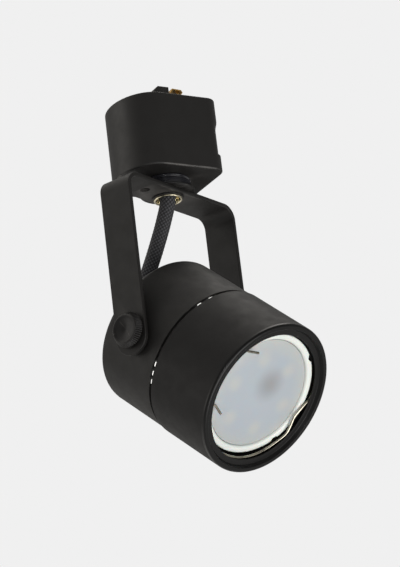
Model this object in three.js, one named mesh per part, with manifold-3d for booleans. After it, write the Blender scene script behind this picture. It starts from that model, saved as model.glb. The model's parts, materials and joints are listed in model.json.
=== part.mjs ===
// Track spotlight: a track adapter, a swivelling yoke and a tilting cylindrical head with a GU10 lamp.
// Units are millimetres, +Z is up and +X runs along the track. The part's origin is on the pan axis, at the
// flat top of the contact tower. The heights below are measured from the adapter's top face, which is
// TOWER.top lower, and each turned or tilted group has a frame of its own.
import * as THREE from "three";
import { mergeVertices } from "three/addons/utils/BufferGeometryUtils.js";
import Module from "manifold-3d";

const wasm = await Module();
wasm.setup();

// ---- driving dimensions ----
const PAN_REST = THREE.MathUtils.degToRad(22); // yoke turned about the pan axis
const TILT_REST = THREE.MathUtils.degToRad(42.2); // head pointing this far below horizontal

const ADAPTER = { latchEnd: 18.6, width: 34.2, height: 31, wall: 1.8, cover: 2 };
const CORNER = 5.3; // radius of the adapter's upright corners at its latch end
const BOW = { start: -8.2, length: 13 }; // the far end is half an ellipse, from x = start
const RECESS = { top: -9, bottom: -24.2, depth: 0.8 }; // finger recess round the latch end
const COLLAR = { height: 4.35, radius: 9.8 };
const WASHER = { thick: 0.6, radius: 11, lowerRadius: 6.4 };
const STEM = { radius: 5, bore: 3.7, flare: 5.8, flareThick: 0.7, top: -21 };
const YOKE = { width: 66.3, strip: 14.8, thick: 1.7, bend: 4.2, armEnd: 9.8, hole: 4, holeAt: 14 };
const PLATE_GAP = 0.05; // running clearance above and below the yoke plate
const PIVOT_DROP = 62.8; // underside of the yoke plate to the tilt axis
const HEAD = { radius: 31, cupRadius: 30.6, wall: 1.5, back: -15.1, front: 47.9 };
const SEAM = { back: 15, front: 16.5 };
const LAMP = { rim: 25.2, rimWidth: 2.9, front: 44, rimThick: 2.4, back: 2.6 };
const RING = { wire: 0.6, radius: 26.4, at: 45.1 };
const SEAT = { bore: 26.6, ledge: 23.6, at: 41.5, thick: 1.4 };
const KNOB = { radius: 6.8, thick: 3, teeth: 24, shank: 2 };
const CABLE = { radius: 3.1 };
const FIT = 0.3; // gap left round pieces that sit in each other
const SLIP = 0.15; // closer gap, for pieces that turn or slide in each other
const [ROUND, MEDIUM, FINE] = [48, 32, 20]; // sides of large, middling and small round pieces

// ---- heights worked out from them ----
const FLOOR = -ADAPTER.height;
const CAVITY_FLOOR = FLOOR + 2;
const COLLAR_BOTTOM = FLOOR - COLLAR.height;
const WASHER_BOTTOM = COLLAR_BOTTOM - WASHER.thick;
const PLATE_TOP = WASHER_BOTTOM - PLATE_GAP;
const PLATE_BOTTOM = PLATE_TOP - YOKE.thick;
const LOWER_WASHER_TOP = PLATE_BOTTOM - PLATE_GAP;
const STEM_FLARE_TOP = LOWER_WASHER_TOP - WASHER.thick;
const PIVOT_Z = PLATE_BOTTOM - PIVOT_DROP;
const ARM_INSIDE = YOKE.width / 2 - YOKE.thick;

// ---- solids ----
// Merges shared corners, drops the flat triangles that a lathe leaves on its axis, and faces the rest
// outwards.
function closed(geometry) {
  let g = geometry.index ? geometry.clone() : mergeVertices(geometry);
  g.deleteAttribute("normal");
  g.deleteAttribute("uv");
  g = mergeVertices(g, 1e-4);
  const p = g.attributes.position;
  const corner = (i) => new THREE.Vector3().fromBufferAttribute(p, i);
  const kept = [];
  let volume = 0;
  for (let i = 0; i < g.index.count; i += 3) {
    const [a, b, c] = [0, 1, 2].map((k) => g.index.getX(i + k));
    if (a === b || b === c || c === a) continue;
    kept.push(a, b, c);
    volume += corner(a).dot(corner(b).cross(corner(c)));
  }
  if (volume < 0) kept.reverse();
  g.setIndex(kept);
  return g;
}

function toManifold(geometry) {
  const g = closed(geometry);
  return new wasm.Manifold(
    new wasm.Mesh({
      numProp: 3,
      vertProperties: Float32Array.from(g.attributes.position.array),
      triVerts: Uint32Array.from(g.index.array),
    }),
  );
}

function fromManifold(solid) {
  const mesh = solid.getMesh();
  const g = new THREE.BufferGeometry();
  g.setAttribute("position", new THREE.BufferAttribute(mesh.vertProperties, 3));
  g.setIndex(new THREE.BufferAttribute(mesh.triVerts, 1));
  return g;
}

function cut(body, ...tools) {
  let solid = toManifold(body);
  for (const tool of tools) solid = solid.subtract(toManifold(tool));
  return fromManifold(solid);
}

function join(body, ...more) {
  let solid = toManifold(body);
  for (const other of more) solid = solid.add(toManifold(other));
  return fromManifold(solid);
}

function common(a, b) {
  return fromManifold(toManifold(a).intersect(toManifold(b)));
}

// ---- basic forms; each has its axis along +Z unless its name says otherwise ----
// A profile is a list of [radius, height] corners; it closes on the axis or on itself.
function turned(profile, segments = MEDIUM) {
  const points = profile.map(([r, z]) => new THREE.Vector2(r, z));
  return new THREE.LatheGeometry(points, segments).rotateX(Math.PI / 2);
}

function tube(outer, inner, low, high, segments = MEDIUM) {
  return turned([[inner, low], [outer, low], [outer, high], [inner, high], [inner, low]], segments);
}

function rod(radius, low, high, segments = FINE) {
  return new THREE.CylinderGeometry(radius, radius, high - low, segments)
    .rotateX(Math.PI / 2)
    .translate(0, 0, (low + high) / 2);
}

const rodAlongX = (radius, low, high, segments) => rod(radius, low, high, segments).rotateY(Math.PI / 2);

function block(lowCorner, highCorner) {
  const size = highCorner.map((h, i) => h - lowCorner[i]);
  const middle = highCorner.map((h, i) => (h + lowCorner[i]) / 2);
  return new THREE.BoxGeometry(...size).translate(...middle);
}

// An outline drawn in the X-Y plane, extruded upwards between two heights.
function extruded(shape, low, high, curveSegments = 5) {
  const settings = { depth: high - low, bevelEnabled: false, curveSegments };
  return new THREE.ExtrudeGeometry(shape, settings).translate(0, 0, low);
}

// An outline drawn in the X-Z plane, extruded along Y between two values.
function extrudedAlongY(shape, low, high, curveSegments) {
  return extruded(shape, -high, -low, curveSegments).rotateX(Math.PI / 2);
}

function outline(corners) {
  return new THREE.Shape(corners.map(([x, y]) => new THREE.Vector2(x, y)));
}

function polygon(radius, sides, turn = 0) {
  const corners = [];
  for (let i = 0; i < sides; i += 1) {
    const a = turn + (2 * Math.PI * i) / sides;
    corners.push([radius * Math.cos(a), radius * Math.sin(a)]);
  }
  return outline(corners);
}

// A round bar that follows a smooth curve through [x, y, z] points.
function wire(points, radius, steps, sides = 6) {
  const curve = new THREE.CatmullRomCurve3(points.map((p) => new THREE.Vector3(...p)));
  return new THREE.ExtrudeGeometry(polygon(radius, sides), { extrudePath: curve, steps });
}

// A flat strip bent through [x, z] corners: the corners of its centre line, given a thickness.
function strip(centre, thick, low, high) {
  const side = (sign) =>
    centre.map((p, i) => {
      const before = centre[Math.max(i - 1, 0)];
      const after = centre[Math.min(i + 1, centre.length - 1)];
      const arrive = new THREE.Vector2(p[0] - before[0], p[1] - before[1]).normalize();
      const leave = new THREE.Vector2(after[0] - p[0], after[1] - p[1]).normalize();
      const along = arrive.clone().add(leave).normalize();
      const spread = thick / 2 / Math.max(along.dot(i === 0 ? leave : arrive), 0.5);
      return [p[0] - sign * along.y * spread, p[1] + sign * along.x * spread];
    });
  return extrudedAlongY(outline([...side(1), ...side(-1).reverse()]), low, high);
}

// ---- materials ----
function finish(colour, roughness, metalness) {
  return new THREE.MeshStandardMaterial({ color: colour, roughness, metalness });
}

const PAINT = finish(0x2b292a, 0.55, 0.25);
const BLACK_PLASTIC = finish(0x242324, 0.35, 0);
const GLOSS_BLACK = finish(0x161617, 0.15, 0);
const BRASS = finish(0xb08d4a, 0.3, 1);
const NICKEL = finish(0xa39a82, 0.25, 1);
const STEEL = finish(0x8d8f92, 0.35, 1);
const BLACK_STEEL = finish(0x232323, 0.35, 0.8);
const BRAID = finish(0x2f3032, 0.85, 0);
const WHITE_PLASTIC = finish(0xdcdfda, 0.4, 0);
const FROSTED = finish(0xb9c2c8, 0.5, 0);
const BOARD = finish(0xe4e6e2, 0.6, 0);
const CERAMIC = finish(0xe8e2d4, 0.5, 0);
const RUBBER = finish(0x1a1a1a, 0.8, 0);
const WIRE_BROWN = finish(0x5a3520, 0.6, 0);
const WIRE_BLUE = finish(0x24407a, 0.6, 0);
const WIRE_GREEN = finish(0x3c7a3a, 0.6, 0);

function piece(group, name, geometry, material, place) {
  const mesh = new THREE.Mesh(closed(geometry), material);
  mesh.name = name;
  if (place) mesh.position.set(...place);
  group.add(mesh);
  return mesh;
}

// ---- track adapter ----
const TOWER = { halfX: 3.3, halfY: 5, top: 8.8, foot: -13, chamfer: 1.8 };
const COVER_BOTTOM = -ADAPTER.cover;
const FLANGE = { halfX: 10, halfY: 7, thick: 2 };
const LATCH = { inner: 10.4, outer: 13, halfWidth: 4, top: 6.5, arm: -16.2, armThick: 2.4, travel: 3 };
const GRIP = { inner: 16.6, outer: 18.5, top: -12.6, bottom: -20.6 };
const SPRING = { x: 13.3, radius: 1.9, wire: 0.35, turns: 5 };
const SCREW = { x: 11.5, y: 9.5, head: 2.4, shank: 1.1, length: 6, boss: 2.5 };
const COVER_LEDGE = 1; // width of the step inside the wall that the cover rests on

function adapterOutline(inset) {
  const [end, half, corner] = [ADAPTER.latchEnd - inset, ADAPTER.width / 2 - inset, CORNER - inset];
  const shape = new THREE.Shape();
  shape.absarc(end - corner, corner - half, corner, -Math.PI / 2, 0);
  shape.absarc(end - corner, half - corner, corner, 0, Math.PI / 2);
  shape.absellipse(BOW.start, 0, BOW.length - inset, half, Math.PI / 2, 1.5 * Math.PI);
  return shape;
}

function adapterHousing() {
  const { latchEnd, width, wall } = ADAPTER;
  const shell = cut(
    extruded(adapterOutline(0), FLOOR, 0),
    extruded(adapterOutline(wall), COVER_BOTTOM, 1),
    extruded(adapterOutline(wall + COVER_LEDGE), CAVITY_FLOOR, 1),
    rod(STEM.radius + SLIP, FLOOR - 1, 0, MEDIUM),
  );
  const bosses = [-1, 1].map((s) =>
    rod(SCREW.boss, CAVITY_FLOOR - 0.5, COVER_BOTTOM - 0.1).translate(s * SCREW.x, s * SCREW.y, 0),
  );
  const pilots = [-1, 1].map((s) =>
    rod(SCREW.shank + SLIP, -SCREW.length - 1, 0, 16).translate(s * SCREW.x, s * SCREW.y, 0),
  );
  const outsideRecess = cut(
    block([latchEnd - CORNER, -width, RECESS.bottom], [latchEnd + 2, width, RECESS.top]),
    extruded(adapterOutline(RECESS.depth), RECESS.bottom - 1, RECESS.top + 1),
  );
  const window = block(
    [latchEnd - 5, -LATCH.halfWidth - FIT, GRIP.bottom - LATCH.travel - FIT],
    [latchEnd + 2, LATCH.halfWidth + FIT, GRIP.top + FIT],
  );
  return cut(join(shell, ...bosses), ...pilots, outsideRecess, window);
}

function adapterCover() {
  const plate = extruded(adapterOutline(ADAPTER.wall + SLIP), COVER_BOTTOM, 0);
  const towerSlot = block(
    [-TOWER.halfX - 1.5, -TOWER.halfY - FIT, COVER_BOTTOM - 1],
    [TOWER.halfX + 1.5, TOWER.halfY + FIT, 1],
  );
  const latchSlot = block(
    [LATCH.inner - FIT, -LATCH.halfWidth - FIT, COVER_BOTTOM - 1],
    [LATCH.outer + FIT, LATCH.halfWidth + FIT, 1],
  );
  const seats = [-1, 1].map((s) => screwForm(SLIP).translate(s * SCREW.x, s * SCREW.y, 0));
  return cut(plate, towerSlot, latchSlot, ...seats);
}

// A countersunk screw whose flat top is at z = 0, fattened by a clearance where it cuts its own seat.
function screwForm(clearance = 0) {
  const [head, shank] = [SCREW.head + clearance, SCREW.shank + clearance];
  const cone = SCREW.head - SCREW.shank;
  return turned([
    [0, -SCREW.length], [shank, -SCREW.length], [shank, -cone - 0.1], [head, -0.1], [head, clearance],
    [0, clearance],
  ], 16);
}

function coverScrew() {
  const slot = block([-2, -0.3, -0.6], [2, 0.3, 1]);
  return cut(screwForm(), slot);
}

function contactCarrier() {
  const { halfX, halfY, top, foot, chamfer } = TOWER;
  const side = outline([
    [-halfX, foot], [halfX, foot], [halfX, top], [-halfX + chamfer, top], [-halfX, top - chamfer],
  ]);
  const under = COVER_BOTTOM - FLANGE.thick;
  const plate = ([lowX, lowY], [highX, highY]) => block([lowX, lowY, under], [highX, highY, COVER_BOTTOM]);
  const bladeSlot = halfX + 1.5;
  return join(
    extrudedAlongY(side, -halfY, halfY),
    plate([-halfX, -FLANGE.halfY], [halfX, FLANGE.halfY]),
    plate([-FLANGE.halfX, -FLANGE.halfY], [-bladeSlot, FLANGE.halfY]),
    plate([bladeSlot, -FLANGE.halfY], [FLANGE.halfX, FLANGE.halfY]),
    plate([-FLANGE.halfX, halfY + FIT], [FLANGE.halfX, FLANGE.halfY]),
    plate([-FLANGE.halfX, -FLANGE.halfY], [FLANGE.halfX, -halfY - FIT]),
  );
}

// A sprung contact blade, from y = low to y = low + width: up the tower's side, out over the track's
// conductor, and curled down at its tip. Its foot ends below the flange, where its lead starts.
const BLADE = { thick: 0.5, gap: 0.6, foot: -14, width: 4 };

function contactBlade(side, reach, low, high) {
  const x = TOWER.halfX + BLADE.gap;
  const path = [
    [x, BLADE.foot], [x, high - 2], [x + 1.2, high], [x + reach, high - 0.2], [x + reach + 0.5, high - 1],
    [x + reach - 0.4, high - 2.2],
  ];
  return strip(path.map(([px, pz]) => [side * px, pz]), BLADE.thick, low, low + BLADE.width);
}

function latch() {
  const { inner, outer, halfWidth, top, arm, armThick } = LATCH;
  const body = outline([
    [inner, arm], [GRIP.inner, arm], [GRIP.inner, GRIP.bottom], [GRIP.outer, GRIP.bottom],
    [GRIP.outer, GRIP.top], [GRIP.inner, GRIP.top], [GRIP.inner, arm + armThick],
    [outer, arm + armThick], [outer, top - 1], [outer - 1, top], [inner, top],
  ]);
  const grooves = [2, 4, 6].map((below) => {
    const z = GRIP.top - below;
    return block([GRIP.outer - 0.4, -5, z - 0.4], [GRIP.outer + 1, 5, z + 0.4]);
  });
  return cut(extrudedAlongY(body, -halfWidth, halfWidth), ...grooves);
}

function springCoil() {
  const { radius, wire: thick, turns } = SPRING;
  const low = CAVITY_FLOOR + thick;
  const rise = LATCH.arm - thick - low;
  const [pointsPerTurn, stepsPerTurn] = [10, 9];
  const points = [];
  for (let i = 0; i <= turns * pointsPerTurn; i += 1) {
    const a = (2 * Math.PI * i) / pointsPerTurn;
    const z = low + (rise * i) / (turns * pointsPerTurn);
    points.push([radius * Math.cos(a), radius * Math.sin(a), z]);
  }
  return wire(points, thick - 0.02, turns * stepsPerTurn, 4);
}

function buildAdapter(group) {
  piece(group, "adapter_housing", adapterHousing(), BLACK_PLASTIC);
  piece(group, "adapter_cover", adapterCover(), BLACK_PLASTIC);
  piece(group, "cover_screw_near", coverScrew(), STEEL, [-SCREW.x, -SCREW.y, 0]);
  piece(group, "cover_screw_far", coverScrew(), STEEL, [SCREW.x, SCREW.y, 0]);
  piece(group, "contact_carrier", contactCarrier(), BLACK_PLASTIC);
  piece(group, "ground_contact", contactBlade(1, 5, -5, 8.2), BRASS);
  piece(group, "live_contact", contactBlade(-1, 3.4, -4.6, 4.2), BRASS);
  piece(group, "neutral_contact", contactBlade(-1, 3.4, 0.6, 6.2), BRASS);
  piece(group, "latch_tab", latch(), BLACK_PLASTIC);
  piece(group, "latch_spring", springCoil(), STEEL, [SPRING.x, 0, 0]);
}

// Insulated leads from the contact blades down to the mouth of the stem.
function adapterLead(side, y, toX, toY) {
  const x = side * (TOWER.halfX + BLADE.gap);
  const path = [
    [x, y, BLADE.foot - 0.4], [x + side * 0.4, y, -17], [toX * 1.6, toY * 1.3, -19], [toX, toY, -22],
  ];
  return wire(path, 0.7, 8);
}

function buildAdapterLeads(group) {
  piece(group, "live_lead", adapterLead(-1, -2.6, -1.5, -1.3), WIRE_BROWN);
  piece(group, "neutral_lead", adapterLead(-1, 2.6, -1.5, 1.3), WIRE_BLUE);
  piece(group, "ground_lead", adapterLead(1, -3, 1.5, 0), WIRE_GREEN);
}

// ---- swivel ----
function stem() {
  const { radius, bore, flare, flareThick, top } = STEM;
  const bottom = STEM_FLARE_TOP - flareThick;
  const edge = 0.3;
  return turned([
    [bore, bottom + edge], [bore + edge, bottom], [flare - edge, bottom], [flare, bottom + edge],
    [flare, STEM_FLARE_TOP], [radius, STEM_FLARE_TOP], [radius, top], [bore, top], [bore, bottom + edge],
  ]);
}

function hexNut(acrossFlats, hole, low, high) {
  const shape = polygon(acrossFlats / Math.sqrt(3), 6, Math.PI / 6);
  shape.holes.push(new THREE.Path().absarc(0, 0, hole, 0, 2 * Math.PI, true));
  return extruded(shape, low, high, 8);
}

function swivelCollar() {
  const { radius } = COLLAR;
  const hole = STEM.radius + SLIP;
  const groove = FLOOR - 1.3;
  return turned([
    [hole, FLOOR], [hole, COLLAR_BOTTOM], [radius - 0.3, COLLAR_BOTTOM], [radius, COLLAR_BOTTOM + 0.3],
    [radius, groove - 0.6], [radius - 0.5, groove - 0.3], [radius - 0.5, groove + 0.3],
    [radius, groove + 0.6], [radius, FLOOR - 0.4], [radius - 0.4, FLOOR], [hole, FLOOR],
  ]);
}

function buildSwivel(group) {
  const hole = STEM.radius + SLIP;
  piece(group, "stem", stem(), NICKEL);
  piece(group, "stem_nut", hexNut(14, hole, CAVITY_FLOOR, CAVITY_FLOOR + 3), STEEL);
  piece(group, "swivel_collar", swivelCollar(), GLOSS_BLACK);
  piece(group, "swivel_washer", tube(WASHER.radius, hole, WASHER_BOTTOM, COLLAR_BOTTOM), BLACK_STEEL);
  const lower = tube(WASHER.lowerRadius, hole, STEM_FLARE_TOP, LOWER_WASHER_TOP);
  piece(group, "lower_washer", lower, BLACK_STEEL);
}

// ---- yoke; from here on z = 0 is the tilt axis ----
function yokeBracket() {
  const { width, strip: stripWidth, thick, bend, armEnd, hole, holeAt } = YOKE;
  const [half, inside] = [width / 2, width / 2 - thick];
  const [under, top] = [PIVOT_DROP, PIVOT_DROP + thick];
  const u = new THREE.Shape();
  u.moveTo(-half, -armEnd);
  u.lineTo(-inside, -armEnd);
  u.absarc(-inside + bend, under - bend, bend, Math.PI, Math.PI / 2, true);
  u.absarc(inside - bend, under - bend, bend, Math.PI / 2, 0, true);
  u.lineTo(inside, -armEnd);
  u.lineTo(half, -armEnd);
  u.absarc(half - bend - thick, top - bend - thick, bend + thick, 0, Math.PI / 2);
  u.absarc(-half + bend + thick, top - bend - thick, bend + thick, Math.PI / 2, Math.PI);
  const ribbon = extrudedAlongY(u, -stripWidth / 2, stripWidth / 2, 6);

  const endCentre = stripWidth / 2 - armEnd;
  const side = new THREE.Shape();
  side.moveTo(stripWidth / 2, top + 1);
  side.lineTo(-stripWidth / 2, top + 1);
  side.absarc(0, endCentre, stripWidth / 2, Math.PI, 2 * Math.PI);
  side.lineTo(stripWidth / 2, top + 1);
  const profile = extruded(side, -half - 1, half + 1, 10).rotateX(Math.PI / 2).rotateZ(Math.PI / 2);

  return cut(
    common(ribbon, profile),
    rodAlongX(KNOB.shank + FIT, -half - 1, half + 1, FINE),
    rod(STEM.radius + FIT, under - 1, top + 1, MEDIUM),
    rod(hole / 2, under - 1, top + 1).translate(-holeAt, 0, 0),
  );
}

function buildYoke(group) {
  piece(group, "yoke_bracket", yokeBracket(), PAINT);
  for (const [side, turn] of [["left", -Math.PI / 2], ["right", Math.PI / 2]]) {
    const washer = tube(4.6, KNOB.shank + FIT, HEAD.cupRadius + SLIP, ARM_INSIDE - SLIP, FINE);
    piece(group, `friction_washer_${side}`, washer.rotateY(turn), BLACK_PLASTIC);
  }
}

// ---- thumb screws, on the tilt axis ----
const THUMB_WASHER = { radius: 6, thick: 0.6, gap: 0.05 };
const KNOB_BASE = YOKE.width / 2 + THUMB_WASHER.thick + 2 * THUMB_WASHER.gap;
const SHANK_END = 26;

function thumbScrew() {
  const { radius, thick, teeth, shank } = KNOB;
  const [toothDepth, dish] = [0.45, 0.7];
  const corners = [];
  for (let i = 0; i < 2 * teeth; i += 1) {
    const a = (Math.PI * i) / teeth;
    const r = i % 2 ? radius - toothDepth : radius;
    corners.push([r * Math.cos(a), r * Math.sin(a)]);
  }
  const top = KNOB_BASE + thick;
  const knob = extruded(outline(corners), KNOB_BASE, top);
  const outside = turned([
    [0, KNOB_BASE], [radius - 0.4, KNOB_BASE], [radius + 0.1, KNOB_BASE + 0.4], [radius + 0.1, top - 0.5],
    [radius - 0.6, top], [1.4, top - dish], [0, top - dish],
  ], 24);
  return join(common(knob, outside), rod(shank, SHANK_END, KNOB_BASE + 0.5));
}

function buildThumbScrews(group) {
  for (const [side, turn] of [["left", -Math.PI / 2], ["right", Math.PI / 2]]) {
    const [low, high] = [YOKE.width / 2 + THUMB_WASHER.gap, KNOB_BASE - THUMB_WASHER.gap];
    const washer = tube(THUMB_WASHER.radius, KNOB.shank + FIT, low, high, FINE);
    piece(group, `thumb_washer_${side}`, washer.rotateY(turn), BLACK_STEEL);
    piece(group, `thumb_screw_${side}`, thumbScrew().rotateY(turn), BLACK_STEEL);
  }
}

// ---- head; its own frame has z = 0 at the tilt axis and +z towards the lamp's front ----
const RING_GROOVE = { radius: RING.radius + RING.wire + SLIP, half: RING.wire + SLIP };
const VENT_RING = { outer: 28.9, inner: 27.5, back: 9, front: 22 };
const VENT = { width: 2, height: 1.1 };
const VENT_ANGLES = [125.4, 136.1, 192, 199.2, 206]; // degrees round the seam, repeated opposite
const GROMMET = { hole: 4.6, flange: 6.2, tail: 4 };
const BRACKET = { halfWidth: 5, flat: -9.4, thick: 1, halfFlat: 13, foot: 17.5, footEnd: 22, hole: 1.7 };
const HOLDER = { radius: 12, back: -9.2, front: 2.3, cavity: -7 };

function rearCup() {
  const { cupRadius: r, wall, back } = HEAD;
  const [fillet, steps] = [2.6, 4];
  const profile = [[0, back]];
  for (let i = 0; i <= steps; i += 1) {
    const a = (Math.PI / 2) * (i / steps - 1);
    profile.push([r - fillet + fillet * Math.cos(a), back + fillet + fillet * Math.sin(a)]);
  }
  profile.push([r, SEAM.back], [r - wall, SEAM.back], [r - wall, back + fillet], [r - fillet, back + wall]);
  profile.push([0, back + wall]);
  const throughBack = (radius, sides) => rod(radius, back - 1, back + wall + 1, sides);
  return cut(
    turned(profile, ROUND),
    throughBack(GROMMET.hole, MEDIUM),
    throughBack(BRACKET.hole, 12).translate(-BRACKET.foot, 0, 0),
    throughBack(BRACKET.hole, 12).translate(BRACKET.foot, 0, 0),
    rodAlongX(KNOB.shank + FIT, -r - 1, r + 1, FINE),
  );
}

function frontBarrel() {
  const { radius: r, wall, front } = HEAD;
  const { radius: groove, half } = RING_GROOVE;
  const inner = r - wall;
  const shelf = front - 1.5;
  const profile = [
    [inner, SEAM.front], [r - 0.2, SEAM.front], [r, SEAM.front + 0.2], [r, front - 1],
    [r - 0.3, front - 0.3], [r - 1, front], [29, front], [28.2, shelf], [SEAT.bore, shelf],
    [SEAT.bore, RING.at + half], [groove, RING.at + half], [groove, RING.at - half],
    [SEAT.bore, RING.at - half], [SEAT.bore, SEAT.at], [SEAT.ledge, SEAT.at],
    [SEAT.ledge, SEAT.at - SEAT.thick], [inner, SEAT.at - SEAT.thick - 2], [inner, SEAM.front],
  ];
  const lugs = [45, 135, 225, 315].map((degrees) =>
    block([LAMP.rim + FIT, -1.1, SEAT.at - 0.5], [SEAT.bore + 0.5, 1.1, LAMP.front + 0.2]).rotateZ(
      THREE.MathUtils.degToRad(degrees),
    ),
  );
  return join(turned(profile, ROUND), ...lugs);
}

// The sleeve behind the seam, with small openings that let air and light through.
function ventRing() {
  const { outer, inner, back, front } = VENT_RING;
  const middle = (SEAM.back + SEAM.front) / 2;
  const [low, high] = [middle - VENT.height / 2, middle + VENT.height / 2];
  const vent = block([inner - 1, -VENT.width / 2, low], [outer + 1, VENT.width / 2, high]);
  const angles = [...VENT_ANGLES, ...VENT_ANGLES.map((degrees) => degrees + 180)];
  const vents = angles.map((degrees) => vent.clone().rotateZ(THREE.MathUtils.degToRad(degrees)));
  return cut(tube(outer, inner, back, front, ROUND), ...vents);
}

// Spring wire C-ring: a circle in the barrel's groove, with both ends turned in and one inward kink to
// squeeze.
function retainingRing() {
  const at = (r, degrees, rise = 0) => {
    const a = THREE.MathUtils.degToRad(degrees);
    return [r * Math.cos(a), r * Math.sin(a), RING.at + rise];
  };
  const points = [at(20.2, 126, 0.3), at(23.6, 137), at(25.9, 139.5), at(RING.radius, 135)];
  for (let degrees = 125; degrees >= 8; degrees -= 9) points.push(at(RING.radius, degrees));
  points.push(at(26.2, 2), at(24.4, -4), at(22.8, -11), at(22.9, -19), at(23.6, -26), at(25.7, -30.5));
  for (let degrees = -36; degrees >= -155; degrees -= 9.5) points.push(at(RING.radius, degrees));
  points.push(at(RING.radius, -163), at(25.9, -168.4), at(23.4, -164), at(20.4, -152, 0.3));
  return wire(points, RING.wire, 84);
}

function cableGrommet() {
  const { hole, flange, tail } = GROMMET;
  const bore = CABLE.radius + SLIP;
  const [outside, inside] = [HEAD.back - 0.1, HEAD.back + HEAD.wall + 0.1];
  const neck = hole - SLIP;
  return turned([
    [bore, outside - tail], [4, outside - tail], [flange - 1, outside - 1.3], [flange, outside],
    [neck, outside], [neck, inside], [flange - 0.6, inside], [flange - 0.8, inside + 1],
    [bore, inside + 1], [bore, outside - tail],
  ], 24);
}

function weldNut() {
  return hexNut(7, KNOB.shank + SLIP, SHANK_END - 0.6, HEAD.cupRadius - HEAD.wall - 0.6);
}

function lampBracket() {
  const { halfWidth, flat, thick, halfFlat, foot, footEnd, hole } = BRACKET;
  const ground = HEAD.back + HEAD.wall + 0.1;
  const footHoles = [-1, 1].map((s) => rod(hole, ground - 1, ground + 3, 12).translate(s * foot, 0, 0));
  const shape = outline([
    [-footEnd, ground], [-halfFlat - 1.6, ground], [-halfFlat, flat - thick], [halfFlat, flat - thick],
    [halfFlat + 1.6, ground], [footEnd, ground], [footEnd, ground + thick],
    [halfFlat + 2.4, ground + thick], [halfFlat + 0.6, flat], [-halfFlat - 0.6, flat],
    [-halfFlat - 2.4, ground + thick], [-footEnd, ground + thick],
  ]);
  return cut(extrudedAlongY(shape, -halfWidth, halfWidth), ...footHoles);
}

// A cross-slotted dome-headed screw from behind the rear cup, ending above the bracket's foot.
function bracketScrew() {
  const seat = HEAD.back - 0.1;
  const [head, shank, end] = [2.8, BRACKET.hole - 0.2, -10.9];
  const dome = [[0, seat - 1.9], [1.8, seat - 1.7], [head, seat - 0.8], [head, seat]];
  const body = turned([...dome, [shank, seat], [shank, end], [0, end]], 16);
  return cut(
    body,
    block([-1.9, -0.3, seat - 3], [1.9, 0.3, seat - 1]),
    block([-0.3, -1.9, seat - 3], [0.3, 1.9, seat - 1]),
  );
}

// A ring segment between two radii and two angles in degrees, closed with straight ends.
function sector(inner, outer, from, to, low, high) {
  const shape = new THREE.Shape();
  const [a, b] = [from, to].map(THREE.MathUtils.degToRad);
  shape.absarc(0, 0, outer, a, b);
  shape.absarc(0, 0, inner, b, a, true);
  return extruded(shape, low, high, 6);
}

const PIN = { at: 5, radius: 1.45, head: 2.4, tip: -5.4, end: 3.2, twist: 20 };

// The holder's two curved slots let the lamp's pins drop in and turn.
function lampholder() {
  const { radius, back, front, cavity } = HOLDER;
  const [inner, outer] = [PIN.at - PIN.head - FIT, PIN.at + PIN.head + FIT];
  const slot = (start) => sector(inner, outer, start - 36, start + 36 + PIN.twist, cavity, front + 1);
  const body = turned([[0, back], [radius - 0.8, back], [radius, back + 0.8], [radius, front], [0, front]]);
  return cut(body, slot(0), slot(180));
}

function lampPin() {
  const { radius, head, tip, end } = PIN;
  return turned([[0, tip], [head, tip], [head, tip + 2.2], [radius, tip + 2.6], [radius, end], [0, end]], 16);
}

function lampBase() {
  const body = turned([
    [0, LAMP.back], [10.5, LAMP.back], [11, LAMP.back + 0.5], [11, 6], [13.4, 8], [13.4, 10], [0, 10],
  ]);
  const socket = rod(PIN.radius + SLIP, 0, PIN.end + 0.2, 16);
  return cut(body, socket.clone().translate(-PIN.at, 0, 0), socket.clone().translate(PIN.at, 0, 0));
}

function lampHousing() {
  const { rim, rimWidth, front, rimThick } = LAMP;
  const step = front - rimThick;
  const [bottom, window] = [10.1, rim - rimWidth];
  return turned([
    [12, bottom], [14.4, bottom], [17.6, 18], [20.4, 27], [22.6, 35], [23.2, step], [rim, step],
    [rim, front - 0.5], [rim - 0.5, front], [window + 0.4, front], [window, front - 0.6],
    [window, front - 3.4], [21.2, front - 4.4], [18.8, 27], [16, 18], [13.4, 13], [12, 13], [12, bottom],
  ], ROUND);
}

function lampDiffuser() {
  const edge = LAMP.rim - LAMP.rimWidth - SLIP;
  const [low, high] = [LAMP.front - 3.2, LAMP.front - 0.9];
  return turned([
    [0, high + 0.2], [8, high + 0.9], [14, high + 1], [19, high + 0.5], [edge, high - 0.4], [edge, low],
    [edge - 1.2, low], [edge - 1.4, high - 1.1], [14, high - 0.4], [8, high - 0.5], [0, high - 1.1],
  ], ROUND);
}

const LED_BOARD = { at: 27.4, radius: 18, thick: 1.4 };
const CHIP = { count: 6, ring: 11, half: 1.4, height: 0.8 };

function ledBoard() {
  const top = LED_BOARD.at + LED_BOARD.thick;
  const chips = [];
  for (let i = 0; i < CHIP.count; i += 1) {
    const chip = block([-CHIP.half, -CHIP.half, top - 0.2], [CHIP.half, CHIP.half, top + CHIP.height]);
    chips.push(chip.translate(CHIP.ring, 0, 0).rotateZ((2 * Math.PI * (i + 0.5)) / CHIP.count));
  }
  return join(rod(LED_BOARD.radius, LED_BOARD.at, top, MEDIUM), ...chips);
}

function buildLamp(group) {
  piece(group, "lamp_base", lampBase(), WHITE_PLASTIC);
  piece(group, "lamp_housing", lampHousing(), WHITE_PLASTIC);
  piece(group, "lamp_diffuser", lampDiffuser(), FROSTED);
  piece(group, "lamp_board", ledBoard(), BOARD);
  piece(group, "lamp_pin_left", lampPin(), STEEL, [-PIN.at, 0, 0]);
  piece(group, "lamp_pin_right", lampPin(), STEEL, [PIN.at, 0, 0]);
}

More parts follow.
